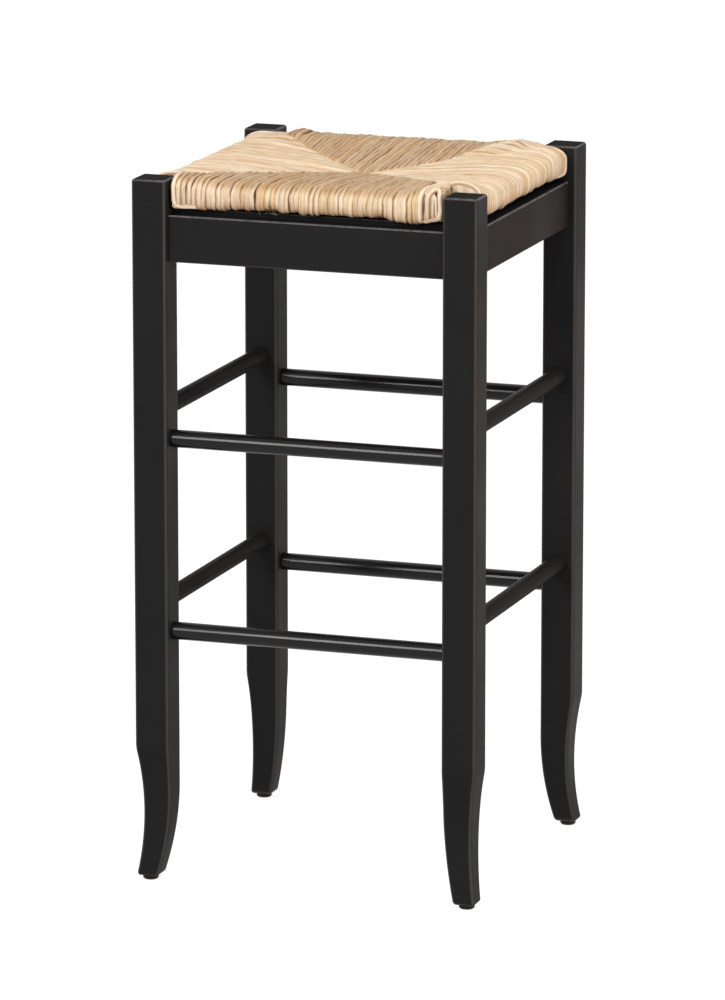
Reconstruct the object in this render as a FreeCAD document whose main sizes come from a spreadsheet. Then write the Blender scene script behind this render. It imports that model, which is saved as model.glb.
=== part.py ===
import FreeCAD, Part
import math
import os
import re
import Sketcher

# Rush seat bar stool: square legs with sabre feet, round stretchers, and a woven seat on its own frame.
# Millimetres, Z up, the floor at zero, the front towards minus Y, the stool's middle on the Z axis.

doc = FreeCAD.newDocument("rush_seat_bar_stool")

# Driving dimensions
SIZES = {
    "stool_width": 382,
    "stool_depth": 382,
    "stool_height": 762,
    "leg_side": 38,
    "leg_edge_round": 4,
    "leg_top_cut": 1.6,
    "hollow_height": 75,
    "hollow_depth": 6.5,
    "hollow_radius": 390,
    "knee_radius": 60,
    "heel_height": 105,
    "heel_radius": 390,
    "toe_cut": 2,
    "glide_height": 5,
    "glide_diameter": 17,
    "glide_edge_cut": 1.5,
    "nail_diameter": 2.5,
    "nail_head_diameter": 7,
    "nail_head_thickness": 1.2,
    "nail_head_recess": 0.5,
    "nail_length": 20,
    "apron_drop": 38,
    "apron_height": 50,
    "apron_thickness": 19,
    "apron_setback": 9,
    "apron_edge_cut": 1.5,
    "apron_tenon_length": 12,
    "apron_tenon_thickness": 9,
    "apron_tenon_shoulder": 6,
    "stretcher_diameter": 19,
    "stretcher_tenon_diameter": 14,
    "stretcher_tenon_length": 20,
    "upper_stretcher_height": 483,
    "lower_stretcher_height": 274,
    "side_stretcher_rise": 26.5,
    "block_reach": 62,
    "block_blunt_end": 8,
    "block_height": 30,
    "block_screw_place": 46,
    "block_screw_seat": 12,
    "block_screw_length": 24,
    "screw_diameter": 4,
    "screw_head_diameter": 8,
    "screw_head_thickness": 2.5,
    "seat_screw_length": 48,
    "seat_lift": 5,
    "seat_setback": 10,
    "seat_gap": 3,
    "rush_thickness": 5,
    "rush_dish": 10,
    "rush_crown_fall": 1,
    "rush_belly_rise": 6,
    "rush_corner_rise": 4,
    "rush_corner_length": 55,
    "roll_end_round": 5,
    "seat_rail_width": 50,
    "seat_rail_thickness": 22,
    "seat_rail_upper_round": 8,
    "seat_rail_lower_round": 3,
    "ledger_width": 14,
    "ledger_height": 24,
    "ledger_end_gap": 2,
    "joint_clearance": 0.2,
    "hole_clearance": 0.4,
}

sheet = doc.addObject("Spreadsheet::Sheet", "size")
for row, (alias, value) in enumerate(SIZES.items(), start=1):
    sheet.set(f"A{row}", alias)
    sheet.set(f"B{row}", str(value))
    sheet.setAlias(f"B{row}", alias)
doc.recompute()

# Places worked out from the driving dimensions
KNEE_SUM = "(knee_radius + hollow_radius)"
KNEE_RISE = f"sqrt(2 * {KNEE_SUM} * hollow_depth - hollow_depth^2)"
KNEE_BOTTOM = f"(hollow_height + {KNEE_RISE} * hollow_radius / {KNEE_SUM})"
KNEE_TOP = f"(hollow_height + {KNEE_RISE})"
APRON_TOP = "(stool_height - apron_drop)"
APRON_BOTTOM = f"({APRON_TOP} - apron_height)"
APRON_INNER = "(apron_setback + apron_thickness)"
APRON_MIDDLE = "(apron_setback + apron_thickness / 2)"
SEAT_BOTTOM = f"({APRON_TOP} + seat_lift)"
SEAT_NOTCH = "(leg_side + seat_gap)"
UPPER_NOSE = "(seat_rail_upper_round + rush_thickness)"
LOWER_NOSE = "(seat_rail_lower_round + rush_thickness)"
RAIL_BOTTOM = f"({SEAT_BOTTOM} + rush_thickness)"
RAIL_TOP = f"({RAIL_BOTTOM} + seat_rail_thickness)"
SEAT_TOP = f"({RAIL_TOP} + rush_thickness)"
RAIL_OUTER = "(seat_setback + rush_thickness)"
RAIL_INNER = f"({RAIL_OUTER} + seat_rail_width)"
RAIL_NOTCH = f"({SEAT_NOTCH} + rush_thickness)"
LAP_MIDDLE = f"(({RAIL_NOTCH} + {RAIL_INNER}) / 2)"
BLOCK_BOTTOM = f"({SEAT_BOTTOM} - block_height)"
BLOCK_MIDDLE = f"({SEAT_BOTTOM} - block_height / 2)"
SCREW_HOLE = "(screw_diameter + hole_clearance)"

# The four quarters, each seen from its own outer corner with x along a side and y into the stool
QUARTERS = [
    ("front_left", "front", "-stool_width / 2", "-stool_depth / 2", "stool_width"),
    ("front_right", "right", "stool_width / 2", "-stool_depth / 2", "stool_depth"),
    ("back_right", "back", "stool_width / 2", "stool_depth / 2", "stool_width"),
    ("back_left", "left", "-stool_width / 2", "stool_depth / 2", "stool_depth"),
]
SAME_PLACE = 0.01

# Spans of each foot's loft up the hollow and over the knee
HOLLOW_STEPS = 4
KNEE_STEPS = 2

nodes = []


def sized(formula):
    """Point each size's name in a formula at its cell in the sheet."""
    return re.sub(r"[a-z_]+", lambda word: "size." + word[0] if word[0] in SIZES else word[0], formula)


def number(formula):
    """The present value of a formula."""
    return float(sheet.evalExpression(sized(formula)))


def bind(item, prop, formula):
    item.setExpression(prop, sized(formula))


def place(item, quarter):
    """Stand a piece in its quarter of the stool."""
    x, y = QUARTERS[quarter][2:4]
    item.Placement.Rotation = FreeCAD.Rotation(FreeCAD.Vector(0, 0, 1), 90 * quarter)
    bind(item, "Placement.Base.x", x)
    bind(item, "Placement.Base.y", y)


def keep(item, label):
    item.Label = label
    nodes.append(item)


def new_body(label, quarter):
    body = doc.addObject("PartDesign::Body", label)
    place(body, quarter)
    keep(body, label)
    return body


def pin_point(sketch, geometry, end, axis, formula):
    """Hold one end of a line or arc at its place along one axis."""
    if formula == "0":
        axis_line = {"X": -2, "Y": -1}[axis]
        sketch.addConstraint(Sketcher.Constraint("PointOnObject", geometry, end, axis_line))
        return
    distance = Sketcher.Constraint("Distance" + axis, -1, 1, geometry, end, number(formula))
    index = sketch.addConstraint(distance)
    bind(sketch, f"Constraints[{index}]", formula)


def arc_between(start, end, radius, swell):
    """An arc whose middle stands to the left (1) or the right (-1) of the way from start to end."""
    chord = end - start
    middle = (start + end) / 2
    side = FreeCAD.Vector(-chord.y, chord.x, 0).normalize()
    centre = middle - side * swell * math.sqrt(radius ** 2 - (chord.Length / 2) ** 2)
    first, last = (end, start) if swell > 0 else (start, end)
    angles = [math.atan2(point.y - centre.y, point.x - centre.x) for point in (first, last)]
    circle = Part.Circle(centre, FreeCAD.Vector(0, 0, 1), radius)
    return Part.ArcOfCircle(circle, angles[0], angles[1])


def draw_loop(sketch, corners):
    """A closed outline. A corner may also give the radius and the swell of the arc that leaves it."""
    points = [FreeCAD.Vector(number(corner[0]), number(corner[1]), 0) for corner in corners]
    ends = []
    for place_in_loop, corner in enumerate(corners):
        start = points[place_in_loop]
        end = points[(place_in_loop + 1) % len(points)]
        if len(corner) == 2:
            geometry = sketch.addGeometry(Part.LineSegment(start, end))
            ends.append((geometry, 1, 2))
            continue
        radius, swell = corner[2:]
        geometry = sketch.addGeometry(arc_between(start, end, number(radius), swell))
        ends.append((geometry, 2, 1) if swell > 0 else (geometry, 1, 2))
    for place_in_loop, (geometry, start, end) in enumerate(ends):
        following, following_start, _ = ends[(place_in_loop + 1) % len(ends)]
        sketch.addConstraint(Sketcher.Constraint("Coincident", geometry, end, following, following_start))
    for (geometry, start, _), corner in zip(ends, corners):
        pin_point(sketch, geometry, start, "X", corner[0])
        pin_point(sketch, geometry, start, "Y", corner[1])
        if len(corner) > 2:
            index = sketch.addConstraint(Sketcher.Constraint("Radius", geometry, number(corner[2])))
            bind(sketch, f"Constraints[{index}]", corner[2])


def draw_circle(sketch, x, y, diameter):
    centre = FreeCAD.Vector(number(x), number(y), 0)
    circle = Part.Circle(centre, FreeCAD.Vector(0, 0, 1), number(diameter) / 2)
    geometry = sketch.addGeometry(circle)
    pin_point(sketch, geometry, 3, "X", x)
    pin_point(sketch, geometry, 3, "Y", y)
    index = sketch.addConstraint(Sketcher.Constraint("Diameter", geometry, number(diameter)))
    bind(sketch, f"Constraints[{index}]", diameter)


def new_sketch(body, name, plane, offset="0", shift="0"):
    """A sketch on one of the body's planes, moved along the plane's axis by offset and along y by shift."""
    sketch = body.newObject("Sketcher::SketchObject", f"{body.Label}_{name}_sketch")
    origin_plane = [item for item in body.Origin.OriginFeatures if item.Role == plane + "_Plane"][0]
    sketch.AttachmentSupport = (origin_plane, [""])
    sketch.MapMode = "FlatFace"
    sense = "-" if plane == "XZ" else ""
    bind(sketch, "AttachmentOffset.Base.z", f"{sense}({offset})")
    bind(sketch, "AttachmentOffset.Base.y", shift)
    return sketch


def rectangle(x_from, y_from, x_to, y_to):
    return [(x_from, y_from), (x_to, y_from), (x_to, y_to), (x_from, y_to)]


def pad(body, name, sketch, length, backwards=False):
    feature = body.newObject("PartDesign::Pad", f"{body.Label}_{name}")
    feature.Profile = sketch
    feature.Reversed = backwards
    bind(feature, "Length", length)


def pocket(body, name, sketch, length, backwards=False, both_ways=False):
    feature = body.newObject("PartDesign::Pocket", f"{body.Label}_{name}")
    feature.Profile = sketch
    feature.Reversed = backwards
    feature.SideType = "Symmetric" if both_ways else "One side"
    bind(feature, "Length", length)


def ruled_loft(body, name, sections):
    feature = body.newObject("PartDesign::AdditiveLoft", f"{body.Label}_{name}")
    feature.Profile = sections[0]
    feature.Sections = sections[1:]
    feature.Ruled = True


def ease(body, name, kind, size, wanted):
    """Round (Fillet) or cut (Chamfer) every edge of the body that the test wants."""
    doc.recompute()
    base = body.Tip
    edges = [f"Edge{count}" for count, edge in enumerate(base.Shape.Edges, start=1) if wanted(edge)]
    feature = body.newObject("PartDesign::" + kind, f"{body.Label}_{name}")
    feature.Base = (base, edges)
    bind(feature, {"Fillet": "Radius", "Chamfer": "Size"}[kind], size)
    doc.recompute()


def edge_span(edge):
    return edge.Vertexes[-1].Point - edge.Vertexes[0].Point


def at_height(formula):
    """A test for edges that lie level at one height."""
    height = number(formula)
    return lambda edge: all(abs(vertex.Z - height) < SAME_PLACE for vertex in edge.Vertexes)


# Legs: square posts on sabre feet. Each foot is lofted through rounded squares from the toe to the knee:
# its outer faces are hollow above the toe and swell at the knee, and its inner faces curve out to the toe.
def outer_face(height):
    if number(height) < number(KNEE_BOTTOM):
        return f"(hollow_depth - hollow_radius + sqrt(hollow_radius^2 - (hollow_height - {height})^2))"
    return f"(knee_radius - sqrt(knee_radius^2 - ({KNEE_TOP} - {height})^2))"


def inner_face(height):
    if number(height) < number("heel_height"):
        return f"(leg_side - heel_radius + sqrt(heel_radius^2 - (heel_height - {height})^2))"
    return "leg_side"


TOE_MIDDLE = f"(({outer_face('glide_height')} + {inner_face('glide_height')}) / 2)"


def rounded_square(low, high, corner):
    return [
        (f"{low} + {corner}", low),
        (f"{high} - {corner}", low, corner, -1),
        (high, f"{low} + {corner}"),
        (high, f"{high} - {corner}", corner, -1),
        (f"{high} - {corner}", high),
        (f"{low} + {corner}", high, corner, -1),
        (low, f"{high} - {corner}"),
        (low, f"{low} + {corner}", corner, -1),
    ]


def foot_stations():
    """The height of each station of a foot, and how far the toe's cut edge is drawn in there."""
    stations = [("glide_height", "toe_cut")]
    toe_top = "(glide_height + toe_cut)"
    for step in range(HOLLOW_STEPS):
        stations.append((f"({toe_top} + ({KNEE_BOTTOM} - {toe_top}) * {step / HOLLOW_STEPS})", "0"))
    for step in range(KNEE_STEPS + 1):
        stations.append((f"({KNEE_BOTTOM} + ({KNEE_TOP} - {KNEE_BOTTOM}) * {step / KNEE_STEPS})", "0"))
    return stations


def make_leg(quarter):
    body = new_body("leg_" + QUARTERS[quarter][0], quarter)
    sections = []
    for count, (height, draw_in) in enumerate(foot_stations()):
        section = new_sketch(body, f"foot_{count}", "XY", height)
        low = f"({outer_face(height)} + {draw_in})"
        high = f"({inner_face(height)} - {draw_in})"
        draw_loop(section, rounded_square(low, high, f"(leg_edge_round - {draw_in})"))
        sections.append(section)
    ruled_loft(body, "foot", sections)
    post = new_sketch(body, "post", "XY", KNEE_TOP)
    draw_loop(post, rounded_square("0", "leg_side", "leg_edge_round"))
    pad(body, "post", post, f"stool_height - {KNEE_TOP}")
    ease(body, "top_edges", "Chamfer", "leg_top_cut", at_height("stool_height"))
    # The two faces that look into the stool, each with an apron mortise and two stretcher bores
    rises = ("0", "side_stretcher_rise") if quarter % 2 == 0 else ("side_stretcher_rise", "0")
    for plane, rise, backwards in (("YZ", rises[0], False), ("XZ", rises[1], True)):
        mortise = new_sketch(body, "mortise_" + plane, plane, "leg_side")
        draw_loop(mortise, rectangle(
            f"{APRON_MIDDLE} - apron_tenon_thickness / 2 - joint_clearance",
            f"{APRON_BOTTOM} + apron_tenon_shoulder - joint_clearance",
            f"{APRON_MIDDLE} + apron_tenon_thickness / 2 + joint_clearance",
            f"{APRON_TOP} - apron_tenon_shoulder + joint_clearance"))
        pocket(body, "mortise_" + plane, mortise, "apron_tenon_length + joint_clearance", backwards)
        bores = new_sketch(body, "bores_" + plane, plane, "leg_side")
        for height in ("upper_stretcher_height", "lower_stretcher_height"):
            draw_circle(bores, "leg_side / 2", f"{height} + {rise}",
                        "stretcher_tenon_diameter + 2 * joint_clearance")
        pocket(body, "bores_" + plane, bores, "stretcher_tenon_length + joint_clearance", backwards)
    nail_hole = new_sketch(body, "nail_hole", "XY", "glide_height")
    draw_circle(nail_hole, TOE_MIDDLE, TOE_MIDDLE, "nail_diameter + hole_clearance")
    pocket(body, "nail_hole", nail_hole, "nail_length", backwards=True)


# Aprons: flat boards with a stub tenon at each end
def make_apron(quarter):
    body = new_body("apron_" + QUARTERS[quarter][1], quarter)
    length = QUARTERS[quarter][4]
    board = new_sketch(body, "board", "XY", APRON_BOTTOM)
    draw_loop(board, rectangle("leg_side", "apron_setback", f"{length} - leg_side", APRON_INNER))
    pad(body, "board", board, "apron_height")
    long_edges = lambda edge: abs(edge_span(edge).x) > number(length) / 2
    ease(body, "long_edges", "Chamfer", "apron_edge_cut", long_edges)
    tenons = new_sketch(body, "tenons", "XY", f"{APRON_BOTTOM} + apron_tenon_shoulder")
    draw_loop(tenons, rectangle(
        "leg_side - apron_tenon_length", f"{APRON_MIDDLE} - apron_tenon_thickness / 2",
        f"{length} - leg_side + apron_tenon_length", f"{APRON_MIDDLE} + apron_tenon_thickness / 2"))
    pad(body, "tenons", tenons, "apron_height - 2 * apron_tenon_shoulder")
    pilots = new_sketch(body, "pilots", "XZ", APRON_INNER)
    for x in (f"{APRON_INNER} + block_screw_place", f"{length} - {APRON_INNER} - block_screw_place"):
        draw_circle(pilots, x, BLOCK_MIDDLE, SCREW_HOLE)
    pocket(body, "pilots", pilots, "block_screw_length - block_screw_seat + joint_clearance", backwards=True)


# Stretchers: turned rods with a shouldered round tenon at each end
def make_stretcher(quarter, level, height):
    body = new_body(f"stretcher_{QUARTERS[quarter][1]}_{level}", quarter)
    length = QUARTERS[quarter][4]
    rise = "0" if quarter % 2 == 0 else "side_stretcher_rise"
    profile = new_sketch(body, "profile", "XY", f"{height} + {rise}", "leg_side / 2")
    tip = "leg_side - stretcher_tenon_length"
    draw_loop(profile, [
        (tip, "0"),
        (f"{length} - ({tip})", "0"),
        (f"{length} - ({tip})", "stretcher_tenon_diameter / 2"),
        (f"{length} - leg_side", "stretcher_tenon_diameter / 2"),
        (f"{length} - leg_side", "stretcher_diameter / 2"),
        ("leg_side", "stretcher_diameter / 2"),
        ("leg_side", "stretcher_tenon_diameter / 2"),
        (tip, "stretcher_tenon_diameter / 2"),
    ])
    rod = body.newObject("PartDesign::Revolution", f"{body.Label}_rod")
    rod.Profile = profile
    rod.ReferenceAxis = (profile, ["H_Axis"])
    rod.Angle = 360


# Corner blocks: notched round the leg, screwed to both aprons, with the seat standing on them
def make_corner_block(quarter):
    body = new_body("corner_block_" + QUARTERS[quarter][0], quarter)
    leg_clear = "leg_side + joint_clearance"
    far_end = f"{APRON_INNER} + block_reach"
    blunt = f"{APRON_INNER} + block_blunt_end"
    outline = new_sketch(body, "outline", "XY", BLOCK_BOTTOM)
    draw_loop(outline, [
        (leg_clear, APRON_INNER),
        (far_end, APRON_INNER),
        (far_end, blunt),
        (blunt, far_end),
        (APRON_INNER, far_end),
        (APRON_INNER, leg_clear),
        (leg_clear, leg_clear),
    ])
    pad(body, "block", outline, "block_height")
    for plane, backwards in (("XZ", False), ("YZ", True)):
        seat = new_sketch(body, "screw_seat_" + plane, plane, f"{APRON_INNER} + block_screw_seat")
        draw_circle(seat, f"{APRON_INNER} + block_screw_place", BLOCK_MIDDLE,
                    "screw_head_diameter + 2 * hole_clearance")
        pocket(body, "screw_seat_" + plane, seat, "block_reach", backwards)
        hole = new_sketch(body, "screw_hole_" + plane, plane, f"{APRON_INNER} + block_screw_seat")
        draw_circle(hole, f"{APRON_INNER} + block_screw_place", BLOCK_MIDDLE, SCREW_HOLE)
        pocket(body, "screw_hole_" + plane, hole, "2 * block_reach", both_ways=True)
    seat_hole = new_sketch(body, "seat_screw_hole", "XY", BLOCK_BOTTOM)
    draw_circle(seat_hole, LAP_MIDDLE, LAP_MIDDLE, SCREW_HOLE)
    pocket(body, "seat_screw_hole", seat_hole, "4 * block_height", both_ways=True)


# Ledgers: strips glued inside the aprons between the corner blocks, which carry the seat and close its gap
def make_ledger(quarter):
    body = new_body("seat_ledger_" + QUARTERS[quarter][1], quarter)
    length = QUARTERS[quarter][4]
    start = f"({APRON_INNER} + block_reach + ledger_end_gap)"
    strip = new_sketch(body, "strip", "XY", f"{SEAT_BOTTOM} - ledger_height")
    draw_loop(strip, rectangle(start, APRON_INNER, f"{length} - {start}", f"{APRON_INNER} + ledger_width"))
    pad(body, "strip", strip, "ledger_height")


# Foot glides: a round pad with a recess for its nail
def make_glide(quarter):
    body = new_body("foot_glide_" + QUARTERS[quarter][0], quarter)
    profile = new_sketch(body, "profile", "XZ", TOE_MIDDLE)
    bind(profile, "AttachmentOffset.Base.x", TOE_MIDDLE)
    hole = "(nail_diameter + hole_clearance) / 2"
    recess = "(nail_head_diameter + hole_clearance) / 2"
    recess_top = "nail_head_recess + nail_head_thickness"
    draw_loop(profile, [
        (recess, "0"),
        ("glide_diameter / 2 - glide_edge_cut", "0"),
        ("glide_diameter / 2", "glide_edge_cut"),
        ("glide_diameter / 2", "glide_height"),
        (hole, "glide_height"),
        (hole, recess_top),
        (recess, recess_top),
    ])
    glide = body.newObject("PartDesign::Revolution", f"{body.Label}_pad")
    glide.Profile = profile
    glide.ReferenceAxis = (profile, ["V_Axis"])
    glide.Angle = 360


# Seat rails: flat boards under the rush, half-lapped where they cross at the leg notches
def make_seat_rail(quarter):
    body = new_body("seat_rail_" + QUARTERS[quarter][1], quarter)
    length = QUARTERS[quarter][4]
    board = new_sketch(body, "board", "XY", RAIL_BOTTOM)
    draw_loop(board, rectangle(RAIL_NOTCH, RAIL_OUTER, f"{length} - {RAIL_NOTCH}", RAIL_INNER))
    pad(body, "board", board, "seat_rail_thickness")
    outer = number(RAIL_OUTER)
    is_outer = lambda edge: all(abs(vertex.Y - outer) < SAME_PLACE for vertex in edge.Vertexes)
    for name, height in (("upper", RAIL_TOP), ("lower", RAIL_BOTTOM)):
        level = at_height(height)
        outer_edge = lambda edge: is_outer(edge) and level(edge)
        ease(body, name + "_outer_edge", "Fillet", f"seat_rail_{name}_round", outer_edge)
    runs_across = quarter % 2 == 0
    laps = new_sketch(body, "laps", "XY", RAIL_TOP if runs_across else RAIL_BOTTOM)
    draw_loop(laps, rectangle(RAIL_NOTCH, RAIL_NOTCH, RAIL_INNER, RAIL_INNER))
    draw_loop(laps, rectangle(f"{length} - {RAIL_INNER}", RAIL_NOTCH, f"{length} - {RAIL_NOTCH}", RAIL_INNER))
    pocket(body, "laps", laps, "seat_rail_thickness / 2", backwards=not runs_across)
    holes = new_sketch(body, "seat_screw_holes", "XY", RAIL_BOTTOM)
    for x in (LAP_MIDDLE, f"{length} - {LAP_MIDDLE}"):
        draw_circle(holes, x, LAP_MIDDLE, SCREW_HOLE)
    depth = "seat_screw_length - block_height - rush_thickness + joint_clearance"
    pocket(body, "seat_screw_holes", holes, depth, backwards=True)


# The section of the seat across one pair of rails: rounded rolls outside, dished above and below.
# Near the legs the rolls rise, and at their very ends they shrink to a rounded end.
def rush_section(across, rise, shrink):
    upper_near = f"(seat_setback + {UPPER_NOSE})"
    lower_near = f"(seat_setback + {LOWER_NOSE})"
    outer = f"(seat_setback + {shrink})"
    top = f"({SEAT_TOP} + {rise} - {shrink})"
    bottom = f"({SEAT_BOTTOM} + {shrink})"
    upper = f"({UPPER_NOSE} - {shrink})"
    lower = f"({LOWER_NOSE} - {shrink})"
    crown_edge = f"({top} - rush_crown_fall)"
    return [
        (lower_near, bottom, lower, 1),
        (outer, f"{bottom} + {lower}"),
        (outer, f"{top} - {upper}", upper, 1),
        (upper_near, top),
        (RAIL_INNER, crown_edge),
        (f"{across} / 2", f"{SEAT_TOP} - rush_dish"),
        (f"{across} - {RAIL_INNER}", crown_edge),
        (f"{across} - {upper_near}", top, upper, 1),
        (f"{across} - {outer}", f"{top} - {upper}"),
        (f"{across} - {outer}", f"{bottom} + {lower}", lower, 1),
        (f"{across} - {lower_near}", bottom),
        (f"{across} - {RAIL_INNER}", bottom),
        (f"{across} / 2", f"{SEAT_BOTTOM} + rush_belly_rise"),
        (RAIL_INNER, bottom),
    ]


def rush_loft(body, name, plane, along, across):
    """One pair of rolls and the sheet between them, from notch to notch."""
    near_end = [
        (SEAT_NOTCH, "rush_corner_rise", "roll_end_round"),
        (f"({SEAT_NOTCH} + roll_end_round)", "rush_corner_rise", "0"),
        (f"({SEAT_NOTCH} + rush_corner_length)", "0", "0"),
    ]
    far_end = [(f"({along} - {inset})", rise, shrink) for inset, rise, shrink in reversed(near_end)]
    sections = []
    for count, (inset, rise, shrink) in enumerate(near_end + far_end):
        section = new_sketch(body, f"{name}_{count}", plane, inset)
        draw_loop(section, rush_section(across, rise, shrink))
        sections.append(section)
    ruled_loft(body, name, sections)


# The section of the pad of stuffing that lies between the two layers of rush, inside the rails
def stuffing_section(across):
    upper_edge = f"{SEAT_TOP} - rush_crown_fall - rush_thickness"
    lower_edge = f"{SEAT_BOTTOM} + rush_thickness"
    return [
        (RAIL_INNER, lower_edge),
        (RAIL_INNER, upper_edge),
        (f"{across} / 2", f"{SEAT_TOP} - rush_dish - rush_thickness"),
        (f"{across} - {RAIL_INNER}", upper_edge),
        (f"{across} - {RAIL_INNER}", lower_edge),
        (f"{across} / 2", f"{SEAT_BOTTOM} + rush_belly_rise + rush_thickness"),
    ]


def make_stuffing():
    body = new_body("seat_stuffing", 0)
    # Two pads of the same section, one along each side, meet in mitres on the diagonals
    across_y = new_sketch(body, "section_across_y", "YZ", RAIL_INNER)
    draw_loop(across_y, stuffing_section("stool_depth"))
    pad(body, "along_x", across_y, f"stool_width - 2 * {RAIL_INNER}")
    across_x = new_sketch(body, "section_across_x", "XZ", RAIL_INNER)
    draw_loop(across_x, stuffing_section("stool_width"))
    pad(body, "along_y", across_x, f"stool_depth - 2 * {RAIL_INNER}", backwards=True)
    return body


# The rush: two lofts that cross and meet in mitres on the diagonals, hollow for the rails and the stuffing
def make_rush_seat(rails, stuffing):
    body = doc.addObject("PartDesign::Body", "rush_form")
    place(body, 0)
    rush_loft(body, "along_x", "YZ", "stool_width", "stool_depth")
    rush_loft(body, "along_y", "XZ", "stool_depth", "stool_width")
    holes = new_sketch(body, "seat_screw_holes", "XY", SEAT_BOTTOM)
    for x in (LAP_MIDDLE, f"stool_width - {LAP_MIDDLE}"):
        for y in (LAP_MIDDLE, f"stool_depth - {LAP_MIDDLE}"):
            draw_circle(holes, x, y, SCREW_HOLE)
    depth = "seat_screw_length - block_height + joint_clearance"
    pocket(body, "seat_screw_holes", holes, depth, backwards=True)
    core = doc.addObject("Part::MultiFuse", "rush_core")
    core.Shapes = rails + [stuffing]
    seat = doc.addObject("Part::Cut", "rush_seat")
    seat.Base = body
    seat.Tool = core
    keep(seat, "rush_seat")


# Screws and nails: a round head on a plain shank, made in a quarter and pointed along one axis
def make_fastener(name, quarter, x, y, z, turn, head, shank):
    parts = []
    for part, (diameter, start, length) in (("head", head), ("shank", shank)):
        rod = doc.addObject("Part::Cylinder", f"{name}_{part}")
        bind(rod, "Radius", f"{diameter} / 2")
        bind(rod, "Height", length)
        rod.Placement.Rotation = turn
        way = turn.multVec(FreeCAD.Vector(0, 0, 1))
        for axis, origin in (("x", x), ("y", y), ("z", z)):
            bind(rod, f"Placement.Base.{axis}", f"{origin} + ({start}) * {round(getattr(way, axis))}")
        parts.append(rod)
    fastener = doc.addObject("Part::Fuse", name)
    fastener.Base = parts[0]
    fastener.Tool = parts[1]
    place(fastener, quarter)
    return fastener


def make_group(label, fasteners):
    group = doc.addObject("Part::Compound", label)
    group.Links = fasteners
    keep(group, label)


UPRIGHT = FreeCAD.Rotation()
TO_FRONT = FreeCAD.Rotation(FreeCAD.Vector(1, 0, 0), 90)
TO_SIDE = FreeCAD.Rotation(FreeCAD.Vector(0, 1, 0), -90)
screw_head = ("screw_head_diameter", "-screw_head_thickness", "screw_head_thickness")


def make_block_screws(quarter):
    name = "block_screw_" + QUARTERS[quarter][0]
    along = f"{APRON_INNER} + block_screw_place"
    seat = f"{APRON_INNER} + block_screw_seat"
    shank = ("screw_diameter", "0", "block_screw_length")
    return [
        make_fastener(name + "_a", quarter, along, seat, BLOCK_MIDDLE, TO_FRONT, screw_head, shank),
        make_fastener(name + "_b", quarter, seat, along, BLOCK_MIDDLE, TO_SIDE, screw_head, shank),
    ]


def make_seat_screw(quarter):
    name = "seat_screw_" + QUARTERS[quarter][0]
    shank = ("screw_diameter", "0", "seat_screw_length")
    return make_fastener(name, quarter, LAP_MIDDLE, LAP_MIDDLE, BLOCK_BOTTOM, UPRIGHT, screw_head, shank)


def make_nail(quarter):
    name = "nail_" + QUARTERS[quarter][0]
    head = ("nail_head_diameter", "0", "nail_head_thickness")
    shank = ("nail_diameter", "nail_head_thickness", "nail_length - nail_head_thickness")
    return make_fastener(name, quarter, TOE_MIDDLE, TOE_MIDDLE, "nail_head_recess", UPRIGHT, head, shank)


# The whole stool
EVERY_QUARTER = range(len(QUARTERS))
for quarter in EVERY_QUARTER:
    make_leg(quarter)
    make_apron(quarter)
    make_stretcher(quarter, "upper", "upper_stretcher_height")
    make_stretcher(quarter, "lower", "lower_stretcher_height")
    make_corner_block(quarter)
    make_ledger(quarter)
    make_glide(quarter)
    make_seat_rail(quarter)
stuffing = make_stuffing()
rails = [node for node in nodes if node.Label.startswith("seat_rail_")]
make_rush_seat(rails, stuffing)
block_screws = [screw for quarter in EVERY_QUARTER for screw in make_block_screws(quarter)]
make_group("corner_block_screws", block_screws)
make_group("seat_screws", [make_seat_screw(quarter) for quarter in EVERY_QUARTER])
make_group("glide_nails", [make_nail(quarter) for quarter in EVERY_QUARTER])
doc.recompute()

# Test every object, then write each sub-part
for item in doc.Objects:
    if "Invalid" in item.State or "Error" in item.State:
        raise RuntimeError(f"{item.Label} failed: {item.State}")
for node in nodes:
    if node.Shape.isNull() or not node.Shape.isValid():
        raise RuntimeError(f"{node.Label} has no valid shape")
os.makedirs("parts", exist_ok=True)
for node in nodes:
    node.Shape.exportStep(f"parts/{node.Label}.step")
    print(node.Label, len(node.Shape.Solids), round(node.Shape.Volume))
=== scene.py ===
import math
import bpy
import numpy as np
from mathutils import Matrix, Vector


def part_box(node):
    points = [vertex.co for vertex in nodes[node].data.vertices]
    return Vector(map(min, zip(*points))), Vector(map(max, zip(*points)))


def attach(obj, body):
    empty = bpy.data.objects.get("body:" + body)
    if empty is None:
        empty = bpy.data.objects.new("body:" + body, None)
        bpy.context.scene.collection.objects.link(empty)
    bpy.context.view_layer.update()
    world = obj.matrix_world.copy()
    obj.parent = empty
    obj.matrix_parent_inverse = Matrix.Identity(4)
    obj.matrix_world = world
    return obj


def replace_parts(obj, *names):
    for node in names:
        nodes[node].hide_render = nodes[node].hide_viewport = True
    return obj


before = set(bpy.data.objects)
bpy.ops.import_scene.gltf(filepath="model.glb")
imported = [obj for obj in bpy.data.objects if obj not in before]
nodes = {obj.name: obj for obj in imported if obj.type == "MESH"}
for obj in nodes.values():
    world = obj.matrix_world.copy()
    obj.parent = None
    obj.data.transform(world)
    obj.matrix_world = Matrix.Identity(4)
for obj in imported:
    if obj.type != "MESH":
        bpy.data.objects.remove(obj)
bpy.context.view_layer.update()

# Rush seat bar stool: the looks, in metres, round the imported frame.
# The front is towards minus Y, the floor is at zero and the stool's middle is on the Z axis.

MM = 0.001
QUARTER_TURN = math.pi / 2
chance = np.random.default_rng(41)

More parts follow.
